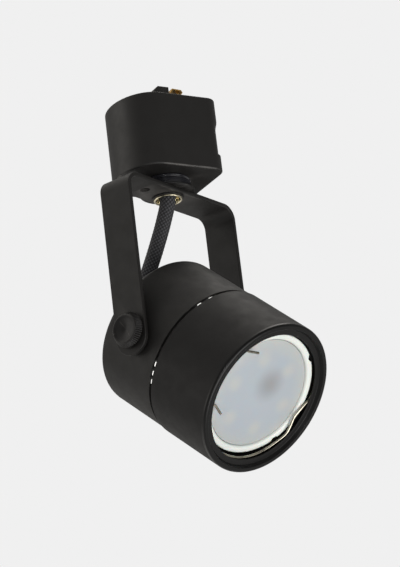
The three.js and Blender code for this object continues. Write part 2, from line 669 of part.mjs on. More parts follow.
// Insulated leads from the end of the cable round the bracket and up into the lampholder's side.
function headLead(side) {
  return wire([
    [side * 1.3, 0.5, -12.2], [side * 1.6, 2.6, -11.4], [side * 3, 8, -11.5], [side * 4.2, 12, -10.6],
    [side * 4.4, 13.2, -7.5], [side * 4.4, 13.2, -4],
  ], 0.6, 12);
}

function buildHead(group) {
  piece(group, "rear_cup", rearCup(), PAINT);
  piece(group, "front_barrel", frontBarrel(), PAINT);
  piece(group, "vent_ring", ventRing(), PAINT);
  piece(group, "retaining_ring", retainingRing(), NICKEL);
  piece(group, "cable_grommet", cableGrommet(), RUBBER);
  piece(group, "lampholder", lampholder(), CERAMIC);
  piece(group, "lampholder_bracket", lampBracket(), STEEL);
  piece(group, "bracket_screw_left", bracketScrew(), STEEL, [-BRACKET.foot, 0, 0]);
  piece(group, "bracket_screw_right", bracketScrew(), STEEL, [BRACKET.foot, 0, 0]);
  piece(group, "weld_nut_left", weldNut().rotateY(-Math.PI / 2), STEEL);
  piece(group, "weld_nut_right", weldNut().rotateY(Math.PI / 2), STEEL);
  piece(group, "lamp_lead_live", headLead(-1), WIRE_BROWN);
  piece(group, "lamp_lead_neutral", headLead(1), WIRE_BLUE);
}

// Braided cable, in the yoke's frame: out of the stem, back behind the head, and into the grommet square on.
function powerCable() {
  const behind = (distance) => [0, distance * Math.cos(TILT_REST), distance * Math.sin(TILT_REST)];
  const mouth = STEM_FLARE_TOP - PIVOT_Z;
  const points = [
    [0, 0, mouth + 14], [0, 0, mouth + 7], [0, 0.1, mouth], [0, 3.4, 54], [0, 9.4, 43], [0, 16.6, 31],
    [0, 19.8, 23.4], behind(22.4), behind(17), behind(13),
  ];
  return wire(points, CABLE.radius, 40, 10);
}

// ---- assembly ----
const spotlight = new THREE.Group();

const adapter = new THREE.Group();
adapter.position.set(0, 0, -TOWER.top);
spotlight.add(adapter);
buildAdapter(adapter);
buildAdapterLeads(adapter);
buildSwivel(adapter);

const yoke = new THREE.Group();
yoke.position.set(0, 0, PIVOT_Z);
yoke.rotation.z = PAN_REST;
adapter.add(yoke);
buildYoke(yoke);
buildThumbScrews(yoke);
piece(yoke, "power_cable", powerCable(), BRAID);

const head = new THREE.Group();
head.rotation.x = Math.PI / 2 + TILT_REST;
yoke.add(head);
buildHead(head);
buildLamp(head);

export default spotlight;
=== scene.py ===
import json
import math

import bmesh
import bpy
import numpy as np
from mathutils import Matrix, Vector


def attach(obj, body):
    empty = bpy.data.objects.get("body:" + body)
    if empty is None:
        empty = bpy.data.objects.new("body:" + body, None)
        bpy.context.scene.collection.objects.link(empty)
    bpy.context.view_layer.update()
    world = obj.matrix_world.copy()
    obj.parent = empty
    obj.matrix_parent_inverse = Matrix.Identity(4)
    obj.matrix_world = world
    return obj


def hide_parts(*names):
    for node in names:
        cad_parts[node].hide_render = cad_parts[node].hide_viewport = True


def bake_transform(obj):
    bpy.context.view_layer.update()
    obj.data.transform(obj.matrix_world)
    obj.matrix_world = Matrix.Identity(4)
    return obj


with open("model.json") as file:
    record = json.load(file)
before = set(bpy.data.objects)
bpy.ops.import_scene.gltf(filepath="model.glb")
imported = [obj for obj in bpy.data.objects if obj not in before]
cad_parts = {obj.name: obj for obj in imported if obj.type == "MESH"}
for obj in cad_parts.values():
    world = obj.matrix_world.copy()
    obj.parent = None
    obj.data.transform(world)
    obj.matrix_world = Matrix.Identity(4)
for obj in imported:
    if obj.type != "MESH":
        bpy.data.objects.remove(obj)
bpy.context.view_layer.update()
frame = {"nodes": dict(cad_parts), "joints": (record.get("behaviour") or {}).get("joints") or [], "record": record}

# Shapes are in millimetres in the local space of the assembly they belong to; a space turns them into metres
# in the row frame.
MM = 0.001

# ---- driving dimensions, in millimetres; overall sizes and places are read from the frame ----
FIT = 0.3  # gap round pieces that sit in each other
SLIP = 0.15  # closer gap, for pieces that turn or slide in each other
SHELL_WALL = 1.5  # of the head's cup and barrel
ADAPTER = {"corner": 5.3, "bow_start": -8.2, "wall": 1.8, "cover_ledge": 1.0, "foot_edge": 0.7,
           "top_edge": 0.5}
LATCH = {"half_width": 4.0, "travel": 3.0, "grip_top": 12.6, "inner": 10.4, "outer": 13.0}
TOWER_SLOT = {"half_x": 4.8, "half_y": 5.3}
# The recess's top and bottom are measured down from the adapter's top face.
RECESS = {"top": 9.0, "bottom": 24.2, "depth": 0.8, "ramp": 0.35, "fade": 4.0}
COVER_SCREW = {"x": 11.5, "y": 9.5, "head": 2.6, "shank": 1.3}
STEM = {"radius": 5.0, "bore": 3.7, "lip": 0.7}
YOKE_STRIP = {"thick": 1.7, "bend": 4.2, "edge": 0.4, "hole_at": -14.0, "hole": 2.0}
KNOB = {"radius": 7.0, "face": 5.75, "teeth": 48, "tooth": 0.32, "shank": 2.0, "pitch": 0.7}
CABLE = {"radius": 2.95, "strands": 12, "relief": 0.18}
CUP = {"cable_hole": 4.6, "fillet": 2.6}
BARREL = {"bore": 26.0, "groove": 27.95, "groove_half": 0.75, "seat_below_ring": 5.6, "ledge": 23.6,
          "lip": 1.6}
VENT = {"half_width": 1.0, "half_height": 0.55, "inner": 27.5}
VENT_ANGLES = (125.4, 136.1, 192.0, 199.2, 206.0)  # degrees round the seam, repeated opposite
RING = {"radius": 27.3, "wire": 0.5, "cad_wire": 0.6}
BRACKET_SCREW = {"x": 17.5, "hole": 1.7, "head": 2.8, "shank": 1.5, "end": -10.9}
LAMP = {"rim_thick": 2.4, "rim_width": 2.7, "back": 10.1, "notch": 2.3, "notch_at": 26.4,
        "notch_angles": (-38.5, 50)}
LEAN = {"x": 0.055, "y": 0.041, "sunk": 0.45, "up": 0.35}  # slopes of the lamp's rim, and its offsets
LENS_SPOTS = {"ring": 14.8, "count": 6, "turn": -25, "radius": 4.8}  # turn is in degrees
# a soft darker patch of painted shade on the lens
LENS_PAINTED_SHADE = {"x": 2.4, "y": 5.0, "radius": 9.0}

JOINTS = {joint["name"]: joint for joint in frame["joints"]}
UP = Vector((0, 0, 1))


def space_of(x_axis, y_axis, z_axis, origin):
    turn = Matrix((x_axis, y_axis, z_axis)).transposed().to_4x4()
    return Matrix.Translation(origin) @ turn @ Matrix.Scale(MM, 4)


TILT_AXIS = Vector(JOINTS["tilt"]["axis"])
TILT_CENTRE = Vector(JOINTS["tilt"]["pos_m"])
AIM = Vector(JOINTS["lamp_twist"]["axis"])
ROW = Matrix.Scale(MM, 4)
YOKE = space_of(TILT_AXIS, UP.cross(TILT_AXIS), UP, TILT_CENTRE)
HEAD = space_of(TILT_AXIS, AIM.cross(TILT_AXIS), AIM, TILT_CENTRE)
LEFT = space_of(UP, (-TILT_AXIS).cross(UP), -TILT_AXIS, TILT_CENTRE)
RIGHT = space_of(UP, TILT_AXIS.cross(UP), TILT_AXIS, TILT_CENTRE)


def turned(space, degrees, axis="Z"):
    return space @ Matrix.Rotation(math.radians(degrees), 4, axis)


def shifted(space, x):
    return space @ Matrix.Translation((x, 0, 0))


def extent(node, space):
    """Lowest and highest corner of a CAD node in a local space, in millimetres."""
    inverse = space.inverted()
    points = np.array([inverse @ vertex.co for vertex in frame["nodes"][node].data.vertices])
    return Vector(points.min(0)), Vector(points.max(0))


# ---- outlines ----
def rounded(corners, steps=5, closed=True):
    """Corners are (a, b) or (a, b, radius); a corner with a radius becomes an arc."""
    points = []
    count = len(corners)
    for i, corner in enumerate(corners):
        here = Vector(corner[:2])
        radius = corner[2] if len(corner) > 2 else 0
        at_end = not closed and i in (0, count - 1)
        if radius <= 0 or at_end:
            points.append(tuple(here))
            continue
        before = (Vector(corners[i - 1][:2]) - here).normalized()
        after = (Vector(corners[(i + 1) % count][:2]) - here).normalized()
        half = before.angle(after) / 2
        centre = here + (before + after).normalized() * radius / math.sin(half)
        start = here + before * radius / math.tan(half) - centre
        sweep = math.pi - 2 * half
        if start.x * (here - centre).y - start.y * (here - centre).x < 0:
            sweep = -sweep
        for k in range(steps + 1):
            a = sweep * k / steps
            x = start.x * math.cos(a) - start.y * math.sin(a)
            y = start.x * math.sin(a) + start.y * math.cos(a)
            points.append((centre.x + x, centre.y + y))
    return points


def circle(radius, sides):
    angles = [2 * math.pi * i / sides for i in range(sides)]
    return [(radius * math.cos(a), radius * math.sin(a)) for a in angles]


def smoothstep(value, low, high):
    t = min(1.0, max(0.0, (value - low) / (high - low)))
    return t * t * (3 - 2 * t)


# ---- meshes ----
def loft(name, rings, space, caps=True, wrap=False):
    """Joins equal rings of [x, y, z] points, in millimetres, into one closed mesh in the row frame."""
    size, count = len(rings[0]), len(rings)
    points = [space @ Vector(point) for ring in rings for point in ring]
    faces = []
    for i in range(count if wrap else count - 1):
        low, high = i * size, ((i + 1) % count) * size
        for k in range(size):
            n = (k + 1) % size
            faces.append((low + k, low + n, high + n, high + k))
    if caps and not wrap:
        faces.append(tuple(range(size))[::-1])
        faces.append(tuple(range((count - 1) * size, count * size)))
    mesh = bpy.data.meshes.new(name)
    mesh.from_pydata(points, [], faces)
    tidy(mesh)
    made = bpy.data.objects.new(name, mesh)
    bpy.context.scene.collection.objects.link(made)
    return made


def tidy(mesh):
    work = bmesh.new()
    work.from_mesh(mesh)
    bmesh.ops.remove_doubles(work, verts=work.verts, dist=1e-7)
    bmesh.ops.dissolve_degenerate(work, edges=work.edges, dist=1e-8)
    bmesh.ops.recalc_face_normals(work, faces=work.faces)
    work.to_mesh(mesh)
    work.free()


def lathe(name, profile, space, sides=144, wrap=False, ripple=None):
    """Turns a profile of (radius, height) about the space's Z axis; it ends on the axis, or wraps round."""
    rings = []
    for radius, height in profile:
        ring = []
        for i in range(sides):
            a = 2 * math.pi * i / sides
            r = radius + (ripple(radius, height, a) if ripple else 0)
            ring.append((r * math.cos(a), r * math.sin(a), height))
        rings.append(ring)
    return loft(name, rings, space, caps=False, wrap=wrap)


def prism(name, outline_at, low, high, space, edge=0.3, steps=4):
    """outline_at(inset) gives an outline of (x, y); the prism's edges are rounded by insetting it."""
    rings = []
    for base, sign in ((low + edge, -1), (high - edge, 1)):
        order = range(steps, -1, -1) if sign < 0 else range(steps + 1)
        for k in order:
            a = math.pi / 2 * k / steps
            inset = edge * (1 - math.cos(a))
            rings.append([(x, y, base + sign * edge * math.sin(a)) for x, y in outline_at(inset)])
    return loft(name, rings, space)


def box(low, high, space):
    (x0, y0, z0), (x1, y1, z1) = low, high
    rings = [[(x0, y0, z), (x1, y0, z), (x1, y1, z), (x0, y1, z)] for z in (z0, z1)]
    return loft("tool", rings, space)


def rod(radius, low, high, space, sides=64):
    rings = [[(x, y, z) for x, y in circle(radius, sides)] for z in (low, high)]
    return loft("tool", rings, space)


def combine(target, tools, operation="DIFFERENCE"):
    for tool in tools:
        modifier = target.modifiers.new("combine", "BOOLEAN")
        modifier.operation = operation
        modifier.solver = "EXACT"
        modifier.object = tool
    bpy.context.view_layer.update()
    evaluated = target.evaluated_get(bpy.context.evaluated_depsgraph_get())
    mesh = bpy.data.meshes.new_from_object(evaluated)
    target.modifiers.clear()
    target.data = mesh
    for tool in tools:
        bpy.data.objects.remove(tool)
    return target


def smooth(piece, angle=35):
    piece.data.shade_smooth()
    piece.data.set_sharp_from_angle(angle=math.radians(angle))
    normals = piece.modifiers.new("normals", "WEIGHTED_NORMAL")
    normals.keep_sharp = True
    normals.weight = 80


def add(piece, body, material, space, replaces=(), angle=35):
    """Finishes a piece: shading, local coordinates for its material, and its place in the assembly."""
    smooth(piece, angle)
    inverse = space.inverted()
    local = np.array([inverse @ vertex.co for vertex in piece.data.vertices], np.float32)
    attribute = piece.data.attributes.new("local", "FLOAT_VECTOR", "POINT")
    attribute.data.foreach_set("vector", local.ravel())
    piece.data.materials.clear()
    piece.data.materials.append(material)
    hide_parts(*replaces)
    if body:
        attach(piece, body)
    return piece


# ---- materials ----
class Graph:
    """A material's nodes, made one call at a time."""

    def __init__(self, name):
        self.material = bpy.data.materials.new(name)
        self.material.use_nodes = True
        self.tree = self.material.node_tree
        self.surface = self.tree.nodes["Principled BSDF"]

    def node(self, kind, **settings):
        made = self.tree.nodes.new("ShaderNode" + kind)
        for key, value in settings.items():
            setattr(made, key, value)
        return made

    def put(self, socket, value):
        if isinstance(value, bpy.types.NodeSocket):
            self.tree.links.new(value, socket)
        else:
            socket.default_value = value

    def math(self, operation, a, b=0.0):
        made = self.node("Math", operation=operation)
        self.put(made.inputs[0], a)
        self.put(made.inputs[1], b)
        return made.outputs[0]

    def mix(self, factor, a, b):
        made = self.node("Mix", data_type="RGBA")
        self.put(made.inputs[0], factor)
        self.put(made.inputs[6], a)
        self.put(made.inputs[7], b)
        return made.outputs[2]

    def range(self, value, low, high, to_low, to_high, kind="LINEAR"):
        made = self.node("MapRange", interpolation_type=kind)
        for i, v in enumerate((value, low, high, to_low, to_high)):
            self.put(made.inputs[i], v)
        return made.outputs[0]

    def object_place(self):
        return self.node("TexCoord").outputs["Object"]

    def local_place(self):
        return self.node("Attribute", attribute_name="local").outputs["Vector"]

    def noise(self, place, scale, detail=2.0, roughness=0.5):
        made = self.node("TexNoise")
        self.put(made.inputs["Vector"], place)
        self.put(made.inputs["Scale"], scale)
        self.put(made.inputs["Detail"], detail)
        self.put(made.inputs["Roughness"], roughness)
        return made.outputs["Fac"]

    def split(self, vector):
        made = self.node("SeparateXYZ")
        self.put(made.inputs[0], vector)
        return made.outputs[0], made.outputs[1], made.outputs[2]

    def distance(self, x, y):
        return self.math("SQRT", self.math("ADD", self.math("MULTIPLY", x, x), self.math("MULTIPLY", y, y)))

    def bump(self, height, distance):
        made = self.node("Bump")
        self.put(made.inputs["Height"], height)
        made.inputs["Distance"].default_value = distance
        made.inputs["Strength"].default_value = 1.0
        return made.outputs[0]

    def set(self, **inputs):
        for key, value in inputs.items():
            self.put(self.surface.inputs[key.replace("_", " ")], value)


def linear(channel):
    """One 8-bit sRGB channel as a linear value."""
    c = channel / 255
    return c / 12.92 if c <= 0.04045 else ((c + 0.055) / 1.055) ** 2.4


def colour(r, g, b):
    return (linear(r), linear(g), linear(b), 1.0)


def coated(name, base, rough, grain=0.0003, depth=0.00001, spread=0.06, wear=None, shade=0.12, lip=None,
           **more):
    """Paint, plastic or rubber: a fine grain in the surface, uneven gloss and tone, and paler worn edges.

    From the local height called lip upwards the coat is glossier and darker; the darker tone is painted shade.
    """
    g = Graph(name)
    place = g.object_place()
    fine = g.noise(place, 1 / grain, 3.0)
    broad = g.noise(place, 45.0, 3.0)
    cloud = g.noise(place, 160.0, 4.0, 0.6)
    darker = tuple(c * (1 - shade) for c in base[:3]) + (1.0,)
    lighter = tuple(min(1.0, c * (1 + shade)) for c in base[:3]) + (1.0,)
    tone = g.mix(broad, darker, lighter)
    if wear:
        edge = g.range(g.node("NewGeometry").outputs["Pointiness"], 0.52, 0.6, 0.0, 1.0, "SMOOTHSTEP")
        worn = g.math("MULTIPLY", edge, g.range(cloud, 0.35, 0.65, 0.25, 1.0))
        tone = g.mix(worn, tone, wear)
    gloss = g.range(cloud, 0.3, 0.7, rough - spread, rough + spread)
    if lip:
        height = g.split(g.local_place())[2]
        lip_shade_and_gloss = g.range(height, lip - 0.2, lip + 0.2, 0.0, 1.0)
        # painted shade: the lip is given a darker tone
        tone = g.mix(lip_shade_and_gloss, tone, LIP_PAINTED_SHADE)
        gloss = g.range(lip_shade_and_gloss, 0.0, 1.0, gloss, LIP_GLOSS)
    g.set(Base_Color=tone, Roughness=gloss)
    g.set(Normal=g.bump(fine, depth))
    g.set(**more)
    return g.material


def metal(name, base, rough, tarnish=0.25):
    """Bare or plated metal: a fine texture, a little tarnish, uneven gloss."""
    g = Graph(name)
    place = g.object_place()
    texture = g.noise(place, 2500.0, 2.0)
    cloud = g.noise(place, 220.0, 4.0, 0.6)
    dull = tuple(c * (1 - tarnish) for c in base[:3]) + (1.0,)
    g.set(Base_Color=g.mix(g.range(cloud, 0.35, 0.7, 0.0, 1.0), base, dull), Metallic=1.0)
    gloss = g.range(texture, 0.2, 0.8, rough * 0.75, rough * 1.35)
    g.set(Roughness=gloss, Normal=g.bump(texture, 0.000004))
    return g.material


def braided_sleeve(name):
    g = Graph(name)
    painted_yarn_light = g.node("Attribute", attribute_name="painted_yarn_light").outputs["Fac"]
    fluff = g.noise(g.object_place(), 9000.0, 3.0, 0.7)
    # painted highlight and shade: the strands' crowns pale, the gaps between them near black
    tone = g.mix(g.math("POWER", painted_yarn_light, 2.2), colour(3, 3, 4), colour(112, 112, 116))
    tone = g.mix(g.range(fluff, 0.4, 0.75, 0.0, 0.35), tone, colour(50, 50, 53))
    g.set(Base_Color=tone, Roughness=0.72, Sheen_Weight=0.05, Sheen_Roughness=0.4, Specular_IOR_Level=0.25)
    g.set(Normal=g.bump(fluff, 0.00004))
    return g.material


def frosted_lens(name):
    """A milky dome with one soft patch of painted shade and a faint warm spot over each light-emitting chip."""
    g = Graph(name)
    x, y, _ = g.split(g.local_place())
    radius = g.distance(x, y)
    aside = g.distance(g.math("SUBTRACT", x, LENS_PAINTED_SHADE["x"]), g.math("SUBTRACT", y, LENS_PAINTED_SHADE["y"]))
    off_painted_shade = g.range(aside, 0.5, LENS_PAINTED_SHADE["radius"], 0.0, 1.0, "SMOOTHSTEP")
    # painted shade: the lens is darker inside the patch
    tone = g.mix(off_painted_shade, colour(128, 130, 133), colour(148, 155, 162))
    tone = g.mix(g.range(radius, 15.0, 23.0, 0.0, 1.0, "SMOOTHSTEP"), tone, colour(158, 161, 160))
    turn = 2 * math.pi / LENS_SPOTS["count"]
    angle = g.math("ADD", g.math("ARCTAN2", y, x), math.radians(LENS_SPOTS["turn"]))
    step = g.math("SUBTRACT", g.math("FLOORED_MODULO", angle, turn), turn / 2)
    along = g.math("MULTIPLY", radius, g.math("SINE", step))
    out = g.math("SUBTRACT", g.math("MULTIPLY", radius, g.math("COSINE", step)), LENS_SPOTS["ring"])
    spot = g.range(g.distance(along, out), 0.2, LENS_SPOTS["radius"], 1.0, 0.0, "SMOOTHSTEP")
    tone = g.mix(g.math("MULTIPLY", spot, 0.4), tone, colour(174, 170, 157))
    grain = g.noise(g.object_place(), 2600.0, 3.0)
    g.set(Base_Color=tone, Roughness=0.42, Subsurface_Weight=0.25, Subsurface_Scale=0.002)
    g.set(Normal=g.bump(grain, 0.00002), Coat_Weight=0.15, Coat_Roughness=0.3)
    return g.material


def glow(name):
    g = Graph(name)
    mottle = g.noise(g.object_place(), 900.0, 2.0)
    g.set(Base_Color=colour(235, 235, 230), Roughness=0.5)
    # painted light: the vent windows emit light, though they are no lamp
    g.set(Emission_Color=g.mix(mottle, colour(235, 236, 232), colour(255, 255, 252)), Emission_Strength=0.9)
    return g.material


WORN_EDGE = colour(70, 68, 66)
# painted shade for the barrel's front lip
LIP_PAINTED_SHADE = colour(9, 9, 9)
LIP_GLOSS = 0.3
PAINT = coated("powder_coat", colour(19, 18, 17), 0.56, 0.00035, 0.000012, wear=WORN_EDGE,
               Specular_IOR_Level=0.27)
# Painted shade: the front barrel has the cup's powder coat made darker, and its lip darker still.
FRONT_PAINT_SHADED = coated("front_powder_coat_painted_shade", colour(13, 12, 12), 0.56, 0.00035, 0.000012, wear=WORN_EDGE,
                     lip=extent("front_barrel", HEAD)[1].z - BARREL["lip"], Specular_IOR_Level=0.2)
PLASTIC = coated("black_plastic", colour(20, 19, 18), 0.5, 0.0005, 0.000006, wear=WORN_EDGE,
                 Specular_IOR_Level=0.32)
GLOSS = coated("gloss_black", colour(26, 26, 30), 0.13, 0.0008, 0.000002, 0.03)
RUBBER = coated("rubber", colour(26, 26, 27), 0.75, 0.0002, 0.00002)
BRASS = metal("brass", colour(198, 160, 92), 0.28)
NICKEL = metal("nickel", colour(196, 188, 164), 0.22)
STEEL = metal("zinc_plate", colour(168, 170, 172), 0.36)
SPRING_WIRE = metal("spring_wire", colour(186, 180, 164), 0.14, tarnish=0.7)
BLACK_STEEL = coated("blackened_steel", colour(16, 15, 15), 0.46, 0.0003, 0.000006, wear=WORN_EDGE,
                     Specular_IOR_Level=0.22)
BRAID = braided_sleeve("braid")
WHITE = coated("white_plastic", colour(199, 203, 199), 0.38, 0.0006, 0.000004, shade=0.03,
               Subsurface_Weight=0.1, Subsurface_Scale=0.001)
BOARD = coated("white_board", colour(228, 230, 226), 0.55, 0.0004, 0.000004, shade=0.04)
CERAMIC = coated("ceramic", colour(226, 220, 204), 0.5, 0.0005, 0.00002, shade=0.05)
LENS = frosted_lens("frosted_lens")
# painted glow for the vent windows
VENT_PAINTED_GLOW = glow("vent_painted_glow")
BROWN = coated("brown_insulation", colour(92, 54, 34), 0.5)
BLUE = coated("blue_insulation", colour(38, 66, 124), 0.5)
GREEN = coated("green_insulation", colour(62, 122, 60), 0.5)

SLOT_LOOKS = {
    "black_paint": PAINT, "black_plastic": PLASTIC, "gloss_black": GLOSS, "brass": BRASS, "nickel": NICKEL,
    "steel": STEEL, "black_steel": BLACK_STEEL, "braid": BRAID, "rubber": RUBBER, "white_plastic": WHITE,
    "frosted": LENS, "white_board": BOARD, "ceramic": CERAMIC, "brown_insulation": BROWN,
    "blue_insulation": BLUE, "green_insulation": GREEN,
}


def dress_cad_nodes():
    """Every CAD node gets the look of its slot, and the ones that stay in view get soft edges."""
    for row in frame["record"]["subparts"]:
        node = frame["nodes"][row["node"]]
        node.data.materials.clear()
        node.data.materials.append(SLOT_LOOKS[row["material_slot"]])
    for name in ("contact_carrier", "latch_tab", "live_contact", "neutral_contact", "ground_contact",
                 "cover_screw_near", "cover_screw_far"):
        node = frame["nodes"][name]
        weld = node.modifiers.new("weld", "WELD")
        weld.merge_threshold = 1e-6
        bevel = node.modifiers.new("edges", "BEVEL")
        bevel.width = 0.12 * MM
        bevel.segments = 2
        bevel.limit_method = "ANGLE"
        bevel.angle_limit = math.radians(40)


# ---- track adapter ----
def adapter_outline(steps=16):
    """A function that gives the adapter's outline, inset by some amount.

    The corners at the latch end are rounded; the far end is half an ellipse.
    """
    low, high = extent("adapter_housing", ROW)
    straight = ADAPTER["bow_start"]

    def outline(inset):
        corner, half = ADAPTER["corner"] - inset, high.y - inset
        bow, end = straight - low.x - inset, high.x - inset
        square = [(straight, -half), (end, -half, corner), (end, half, corner), (straight, half)]
        points = rounded(square, steps)
        for k in range(1, 3 * steps):
            a = math.pi / 2 + math.pi * k / (3 * steps)
            points.append((straight + bow * math.cos(a), half * math.sin(a)))
        return points
    return outline


def adapter_rings(outline, steps=5):
    """The housing's outside from bottom to top, pressed in round the latch end to make a finger recess."""
    low, high = extent("adapter_housing", ROW)
    top, bottom = high.z - RECESS["top"], high.z - RECESS["bottom"]
    ramp, fade = RECESS["ramp"], RECESS["fade"]
    recess_start = high.x - ADAPTER["corner"]

    def ring(z, inset):
        pressed = min(smoothstep(z, bottom, bottom + ramp), 1 - smoothstep(z, top - fade, top))
        points = []
        for (x, y), (px, py) in zip(outline(inset), outline(inset + RECESS["depth"])):
            share = pressed * smoothstep(x, recess_start + 1.2, recess_start + 4.2)
            points.append((x + (px - x) * share, y + (py - y) * share, z))
        return points

    foot, brim = ADAPTER["foot_edge"], ADAPTER["top_edge"]
    quarter = [math.pi / 2 * k / steps for k in range(steps + 1)]
    rings = [ring(low.z + foot - foot * math.sin(a), foot * (1 - math.cos(a))) for a in reversed(quarter)]
    heights = [bottom - 0.3, *(bottom + ramp * k / 4 for k in range(5)), bottom + 1]
    heights += [*(top - fade * k / 8 for k in range(8, -1, -1)), top + 0.3]
    rings += [ring(z, 0) for z in heights]
    rings += [ring(high.z - brim + brim * math.sin(a), brim * (1 - math.cos(a))) for a in quarter]
    return rings


def build_adapter_shell(outline):
    low, high = extent("adapter_housing", ROW)
    cover_bottom = extent("adapter_cover", ROW)[0].z
    shell = loft("adapter_shell", adapter_rings(outline), ROW)
    wall, ledge = ADAPTER["wall"], ADAPTER["wall"] + ADAPTER["cover_ledge"]
    levels = ((low.z + 2, ledge), (cover_bottom, ledge), (cover_bottom, wall), (high.z + 1, wall))
    cavity = [[(x, y, z) for x, y in outline(inset)] for z, inset in levels]
    half = LATCH["half_width"] + FIT
    window_low = extent("latch_tab", ROW)[0].z - LATCH["travel"] - FIT
    window = box((high.x - 5, -half, window_low), (high.x + 5, half, high.z - LATCH["grip_top"] + FIT), ROW)
    tools = [loft("tool", cavity, ROW), rod(STEM["radius"] + SLIP, low.z - 1, low.z + 3, ROW), window]
    add(combine(shell, tools), "adapter", PLASTIC, ROW, ["adapter_housing"], 30)


def build_adapter_cover(outline):
    low, high = extent("adapter_cover", ROW)

    def edge(inset):
        return outline(ADAPTER["wall"] + SLIP + inset)

    plate = prism("adapter_top_plate", edge, low.z, high.z, ROW, 0.25)
    x, y, half = TOWER_SLOT["half_x"], TOWER_SLOT["half_y"], LATCH["half_width"] + FIT
    tools = [
        box((-x, -y, low.z - 1), (x, y, high.z + 1), ROW),
        box((LATCH["inner"] - FIT, -half, low.z - 1), (LATCH["outer"] + FIT, half, high.z + 1), ROW),
    ]
    head, shank = COVER_SCREW["head"], COVER_SCREW["shank"]
    seat = [(0, low.z - 1), (shank, low.z - 1), (shank, high.z - 1.3), (head, high.z - 0.1),
            (head, high.z + 1), (0, high.z + 1)]
    for side in (-1, 1):
        place = Matrix.Translation((side * COVER_SCREW["x"] * MM, side * COVER_SCREW["y"] * MM, 0)) @ ROW
        tools.append(lathe("tool", seat, place, 48))
    add(combine(plate, tools), "adapter", PLASTIC, ROW, ["adapter_cover"], 30)


def build_adapter():
    outline = adapter_outline()
    build_adapter_shell(outline)
    build_adapter_cover(outline)


# ---- swivel ----
def build_swivel():
    low, high = extent("swivel_collar", ROW)
    hole = STEM["radius"] + SLIP
    r, groove = high.x, high.z - 1.3
    profile = rounded([
        (hole, high.z), (hole, low.z), (r, low.z, 0.35), (r, groove - 0.55, 0.15),
        (r - 0.5, groove - 0.25, 0.15), (r - 0.5, groove + 0.25, 0.15), (r, groove + 0.55, 0.15),
        (r, high.z, 0.4),
    ], 4)
    collar = lathe("swivel_boss", profile, ROW, 128, wrap=True)
    add(collar, "adapter", GLOSS, ROW, ["swivel_collar"])
    washers = (("swivel_washer", "upper_thrust_washer", 0.22), ("lower_washer", "under_washer", 0.2))
    for node, name, edge in washers:
        low, high = extent(node, ROW)
        washer = lathe(name, washer_profile(hole, low, high, edge), ROW, 128, wrap=True)
        add(washer, "adapter", BLACK_STEEL, ROW, [node])
    low, high = extent("stem", ROW)
    flare, radius, bore, lip = high.x, STEM["radius"], STEM["bore"], STEM["lip"]
    profile = rounded([
        (flare - 0.8, low.z, 0.38), (flare, low.z, 0.38), (flare, low.z + lip, 0.3), (radius, low.z + lip),
        (radius, high.z, 0.3), (bore, high.z, 0.3), (bore, low.z + 5.0, 0.3), (flare - 1.0, low.z + 0.5, 0.2),
    ], 5)
    stem = lathe("swivel_stem", profile, ROW, 128, wrap=True)
    add(stem, "adapter", NICKEL, ROW, ["stem"])


def washer_profile(hole, low, high, edge):
    return rounded([(hole, high.z), (hole, low.z), (high.x, low.z, edge), (high.x, high.z, edge)], 4)


# ---- yoke ----
def yoke_path():
    """Half of the strip's centre line and its half width, as (x, z, half), then the mirrored half."""
    low, high = extent("yoke_bracket", YOKE)
    thick, strip_half = YOKE_STRIP["thick"], high.y
    centre_x, centre_z = high.x - thick / 2, high.z - thick / 2
    end_centre = low.z + strip_half
    tip = [math.radians(a) for a in (86, 80, 72, 63, 54, 45, 36, 27, 18, 9, 0)]
    bend = (-centre_x, centre_z, YOKE_STRIP["bend"] + thick / 2)
    corner = rounded([(-centre_x, 0), bend, (0, centre_z)], 12, closed=False)[1:-1]
    path = [(-centre_x, end_centre - strip_half * math.sin(a), strip_half * math.cos(a)) for a in tip]
    path += [(-centre_x, 20, strip_half)]
    path += [(x, z, strip_half) for x, z in corner] + [(-centre_x / 2, centre_z, strip_half)]
    return path + [(0, centre_z, strip_half)] + [(-x, z, half) for x, z, half in reversed(path)]


def build_yoke():
    high = extent("yoke_bracket", YOKE)[1]
    thick = YOKE_STRIP["thick"]
    path = yoke_path()
    rings = []
    for i, (x, z, half) in enumerate(path):
        before, after = path[max(i - 1, 0)], path[min(i + 1, len(path) - 1)]
        along = Vector((after[0] - before[0], after[1] - before[1])).normalized()
        across = Vector((-along.y, along.x))
        edge = min(YOKE_STRIP["edge"], half * 0.8)
        section = rounded([
            (-half, -thick / 2, edge), (half, -thick / 2, edge), (half, thick / 2, edge),
            (-half, thick / 2, edge),
        ], 4)
        rings.append([(x + across.x * n, y, z + across.y * n) for y, n in section])
    strip = loft("yoke_strip", rings, YOKE)
    tools = [rod(KNOB["shank"] + FIT, -high.x - 2, high.x + 2, turned(YOKE, 90, "Y"))]
    for x, radius in ((0, STEM["radius"] + FIT), (YOKE_STRIP["hole_at"], YOKE_STRIP["hole"])):
        tools.append(rod(radius, high.z - 4, high.z + 2, shifted(YOKE, x), 96))
    add(combine(strip, tools), "yoke", PAINT, YOKE, ["yoke_bracket"], 30)


